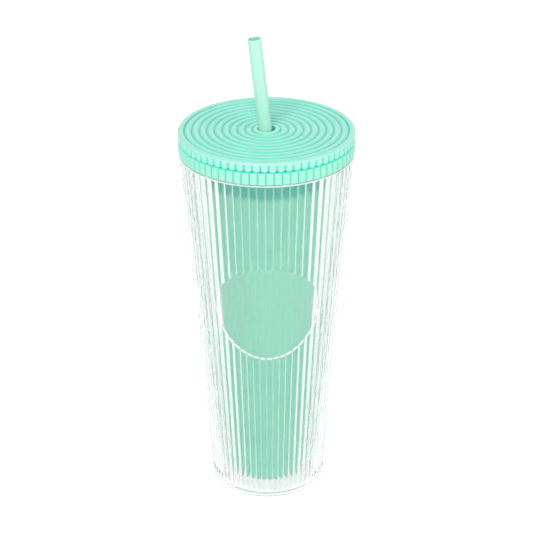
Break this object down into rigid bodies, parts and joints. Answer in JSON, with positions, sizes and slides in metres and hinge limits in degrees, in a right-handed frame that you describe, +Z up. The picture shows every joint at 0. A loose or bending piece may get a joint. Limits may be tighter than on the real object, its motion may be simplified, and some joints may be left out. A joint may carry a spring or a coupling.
{
  "type": "straw tumbler",
  "caption": "Double-walled ribbed cold-drink tumbler with a mint liner in a clear shell, a ringed screw lid and a leaning straw.",
  "frame": {"origin": "centre of the underside of the base, on the surface the tumbler stands on", "axes": "+Z up along the cup's axis; the round plain window faces -Y; the straw leans towards -X at its top"},
  "size_m": [0.096, 0.096, 0.2675],
  "materials": {
    "clear_plastic": "clear gloss",
    "liner_mint": "satin",
    "collar_mint": "satin",
    "lid_mint": "satin",
    "plate_mint": "satin",
    "silicone": "matte silicone",
    "straw_mint": "satin"
  },
  "bodies": {
    "cup": {"outer_shell": "clear_plastic", "base_disc": "clear_plastic", "inner_liner": "liner_mint", "rim_collar": "collar_mint"},
    "lid_seal": {"lid_gasket": "silicone"},
    "lid_inner": {"lid_inner_plate": "plate_mint"},
    "lid": {"lid_cover": "lid_mint"},
    "straw": {"straw": "straw_mint", "straw_stop_ring": "silicone"}
  },
  "joints": [
    {"name": "lid_lift_off", "type": "slide", "parent": "cup", "child": "lid_seal", "axis": [0, 0, 1], "range_m": [0, 0.22]},
    {"name": "lid_rise", "type": "slide", "parent": "lid_seal", "child": "lid_inner", "axis": [0, 0, 1], "range_m": [0, 0.0057]},
    {"name": "lid_turn", "type": "hinge", "parent": "lid_inner", "child": "lid", "pos_m": [0, 0, 0.21], "axis": [0, 0, 1], "range_deg": [0, 450]},
    {"name": "straw_slide", "type": "slide", "parent": "lid_inner", "child": "straw", "axis": [-0.1056, 0, 0.9944], "range_m": [0, 0.129]}
  ],
  "couplings": [
    {"joint": "lid_rise", "follows": "lid_turn", "m_per_rad": 0.0007162}
  ]
}
